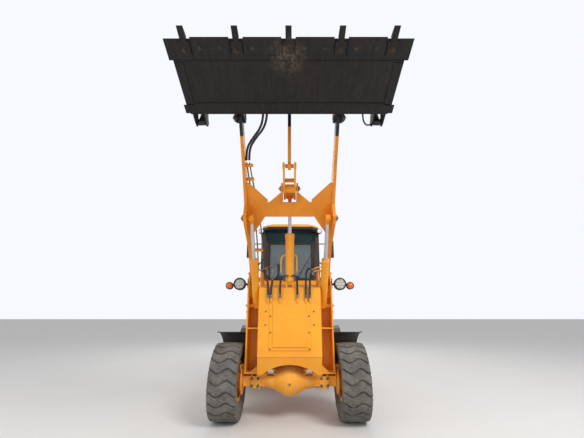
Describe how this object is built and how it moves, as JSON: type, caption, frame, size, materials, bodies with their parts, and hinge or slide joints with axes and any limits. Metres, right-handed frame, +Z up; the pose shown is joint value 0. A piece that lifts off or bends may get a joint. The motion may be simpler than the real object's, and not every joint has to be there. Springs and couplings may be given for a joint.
{
  "type": "articulated wheel loader",
  "caption": "Articulated wheel loader with raised arms, clam bucket, cab, hood and four lugged tyres.",
  "frame": {"origin": "on the ground under the middle of the machine's length and width", "axes": "+X to the loader's left, -Y forwards, +Z up"},
  "size_m": [2.5, 7.0724, 4.6973],
  "materials": {
    "machine_yellow": "gloss machine yellow, dusty",
    "black_paint": "matt black paint",
    "bucket_steel": "worn brown-black steel",
    "rod_chrome": "polished cylinder rod",
    "pin_steel": "greased pin steel",
    "tyre_rubber": "dusty tyre rubber",
    "cab_glass": "slightly green glass",
    "seat_cloth": "dark seat cloth",
    "black_plastic": "black plastic",
    "engine_iron": "grey cast iron"
  },
  "bodies": {
    "rear_body": {"rear_frame": "machine_yellow", "rear_axle": "machine_yellow", "cab_shell": "machine_yellow", "cab_roof": "machine_yellow", "cab_glass": "cab_glass", "seat": "seat_cloth", "seat_base": "black_paint", "steering_column": "black_plastic", "engine_block": "engine_iron", "counterweight": "machine_yellow", "rear_fenders": "black_paint", "step_tanks": "black_paint", "cab_mirrors": "black_plastic", "work_lamps": "black_plastic"},
    "front_body": {"front_frame": "machine_yellow", "front_axle": "machine_yellow", "front_fenders": "black_paint", "headlamps": "black_paint"},
    "arms": {"lift_arms": "machine_yellow"},
    "bucket_pins": {"bucket_pins": "pin_steel"},
    "bucket": {"bucket_moldboard": "bucket_steel", "clam_pivot_pins": "pin_steel"},
    "rocker_pin": {"rocker_pin": "pin_steel"},
    "rocker": {"rocker": "machine_yellow"},
    "link_pin": {"link_pin": "pin_steel"},
    "tie_link": {"tie_link": "machine_yellow"},
    "tilt_barrel": {"tilt_cylinder_barrel": "machine_yellow"},
    "tilt_rod": {"tilt_cylinder_rod": "rod_chrome"},
    "lift_barrels": {"lift_cylinder_barrels": "machine_yellow"},
    "lift_rods": {"lift_cylinder_rods": "rod_chrome"},
    "clam": {"bucket_clam": "bucket_steel", "bucket_teeth": "bucket_steel"},
    "clam_barrels": {"clam_cylinder_barrels": "machine_yellow"},
    "clam_rods": {"clam_cylinder_rods": "rod_chrome"},
    "door": {"cab_door": "machine_yellow", "door_glass": "cab_glass"},
    "hood": {"engine_hood": "machine_yellow", "hood_grille": "black_paint", "exhaust_stack": "black_paint"},
    "steering_left_barrel": {"steering_cylinder_left_barrel": "machine_yellow"},
    "steering_left_rod": {"steering_cylinder_left_rod": "rod_chrome"},
    "front_left_wheel": {"front_left_tyre": "tyre_rubber", "front_left_wheel": "machine_yellow"},
    "rear_left_wheel": {"rear_left_tyre": "tyre_rubber", "rear_left_wheel": "machine_yellow"},
    "steering_right_barrel": {"steering_cylinder_right_barrel": "machine_yellow"},
    "steering_right_rod": {"steering_cylinder_right_rod": "rod_chrome"},
    "front_right_wheel": {"front_right_tyre": "tyre_rubber", "front_right_wheel": "machine_yellow"},
    "rear_right_wheel": {"rear_right_tyre": "tyre_rubber", "rear_right_wheel": "machine_yellow"}
  },
  "joints": [
    {"name": "articulation", "type": "hinge", "parent": "rear_body", "child": "front_body", "pos_m": [0, 0.62615, 0.7], "axis": [0, 0, 1], "range_deg": [-35, 35]},
    {"name": "lift", "type": "hinge", "parent": "front_body", "child": "arms", "pos_m": [0, -0.59385, 2.04], "axis": [-1, 0, 0], "range_deg": [-90.5, 2]},
    {"name": "bucket_pin_level", "type": "hinge", "parent": "arms", "child": "bucket_pins", "pos_m": [0, -2.38585, 3.935], "axis": [-1, 0, 0], "range_deg": [-3, 92]},
    {"name": "tilt", "type": "hinge", "parent": "bucket_pins", "child": "bucket", "pos_m": [0, -2.38585, 3.935], "axis": [1, 0, 0], "range_deg": [-25, 66]},
    {"name": "rocker_pin_turn", "type": "hinge", "parent": "arms", "child": "rocker_pin", "pos_m": [0, -1.79253, 3.19115], "axis": [-1, 0, 0], "range_deg": [-63, 3]},
    {"name": "rocker_turn", "type": "hinge", "parent": "rocker_pin", "child": "rocker", "pos_m": [0, -1.79253, 3.19115], "axis": [-1, 0, 0], "range_deg": [-11, 27]},
    {"name": "link_pin_turn", "type": "hinge", "parent": "bucket", "child": "link_pin", "pos_m": [0, -2.278, 4.25779], "axis": [-1, 0, 0], "range_deg": [-89, 3]},
    {"name": "link_turn", "type": "hinge", "parent": "link_pin", "child": "tie_link", "pos_m": [0, -2.278, 4.25779], "axis": [-1, 0, 0], "range_deg": [-14, 34]},
    {"name": "tilt_cylinder_swing", "type": "hinge", "parent": "front_body", "child": "tilt_barrel", "pos_m": [0, -0.97385, 2.005], "axis": [-1, 0, 0], "range_deg": [-110, 4]},
    {"name": "tilt_cylinder_stroke", "type": "slide", "parent": "tilt_barrel", "child": "tilt_rod", "axis": [0, -0.3175, 0.9483], "range_m": [-0.01, 0.242]},
    {"name": "lift_cylinder_swing", "type": "hinge", "parent": "front_body", "child": "lift_barrels", "pos_m": [0, -0.67385, 1.62], "axis": [-1, 0, 0], "range_deg": [-91, 3]},
    {"name": "lift_cylinder_stroke", "type": "slide", "parent": "lift_barrels", "child": "lift_rods", "axis": [0, -0.6497, 0.7602], "range_m": [-0.626, 0.019]},
    {"name": "clam_opening", "type": "hinge", "parent": "bucket", "child": "clam", "pos_m": [0, -2.30803, 4.61209], "axis": [-1, 0, 0], "range_deg": [0, 50]},
    {"name": "clam_cylinder_swing", "type": "hinge", "parent": "bucket", "child": "clam_barrels", "pos_m": [0, -2.4346, 3.83589], "axis": [-1, 0, 0], "range_deg": [-1, 2]},
    {"name": "clam_cylinder_stroke", "type": "slide", "parent": "clam_barrels", "child": "clam_rods", "axis": [0, 0.3695, 0.9292], "range_m": [-0.161, 0.005]},
    {"name": "steering_left_swing", "type": "hinge", "parent": "rear_body", "child": "steering_left_barrel", "pos_m": [0.39, 0.94615, 0.7], "axis": [0, 0, 1], "range_deg": [-24, 24]},
    {"name": "steering_left_stroke", "type": "slide", "parent": "steering_left_barrel", "child": "steering_left_rod", "axis": [-0.0465, -0.9989, 0], "range_m": [-0.219, 0.219]},
    {"name": "steering_right_swing", "type": "hinge", "parent": "rear_body", "child": "steering_right_barrel", "pos_m": [-0.39, 0.94615, 0.7], "axis": [0, 0, 1], "range_deg": [-24, 24]},
    {"name": "steering_right_stroke", "type": "slide", "parent": "steering_right_barrel", "child": "steering_right_rod", "axis": [0.0465, -0.9989, 0], "range_m": [-0.219, 0.219]},
    {"name": "front_left_roll", "type": "hinge", "parent": "front_body", "child": "front_left_wheel", "pos_m": [0.925, -0.67385, 0.535], "axis": [1, 0, 0], "continuous": true},
    {"name": "front_right_roll", "type": "hinge", "parent": "front_body", "child": "front_right_wheel", "pos_m": [-0.925, -0.67385, 0.535], "axis": [1, 0, 0], "continuous": true},
    {"name": "rear_left_roll", "type": "hinge", "parent": "rear_body", "child": "rear_left_wheel", "pos_m": [0.925, 1.92615, 0.535], "axis": [1, 0, 0], "continuous": true},
    {"name": "rear_right_roll", "type": "hinge", "parent": "rear_body", "child": "rear_right_wheel", "pos_m": [-0.925, 1.92615, 0.535], "axis": [1, 0, 0], "continuous": true},
    {"name": "door", "type": "hinge", "parent": "rear_body", "child": "door", "pos_m": [0.596, 1.22915, 2.2], "axis": [0, 0, 1], "range_deg": [0, 80]},
    {"name": "hood_lift", "type": "hinge", "parent": "rear_body", "child": "hood", "pos_m": [0, 1.54615, 1.96], "axis": [1, 0, 0], "range_deg": [0, 45]}
  ],
  "couplings": [
    {"joint": "bucket_pin_level", "follows": "lift", "ratio": -1},
    {"joint": "rocker_pin_turn", "follows": "lift", "ratio": 0.6766},
    {"joint": "rocker_turn", "follows": "tilt", "ratio": 0.3793},
    {"joint": "link_pin_turn", "follows": "lift", "ratio": 0.9625},
    {"joint": "link_turn", "follows": "tilt", "ratio": 0.5},
    {"joint": "tilt_cylinder_swing", "follows": "lift", "ratio": 1.2},
    {"joint": "tilt_cylinder_stroke", "follows": "lift", "m_per_rad": -0.15},
    {"joint": "lift_cylinder_swing", "follows": "lift", "ratio": 0.9902},
    {"joint": "lift_cylinder_stroke", "follows": "lift", "m_per_rad": 0.393},
    {"joint": "clam_cylinder_swing", "follows": "clam_opening", "ratio": 0.0105},
    {"joint": "clam_cylinder_stroke", "follows": "clam_opening", "m_per_rad": -0.1783},
    {"joint": "steering_left_swing", "follows": "articulation", "ratio": 0.65},
    {"joint": "steering_left_stroke", "follows": "articulation", "m_per_rad": -0.35},
    {"joint": "steering_right_swing", "follows": "articulation", "ratio": 0.65},
    {"joint": "steering_right_stroke", "follows": "articulation", "m_per_rad": 0.35}
  ]
}
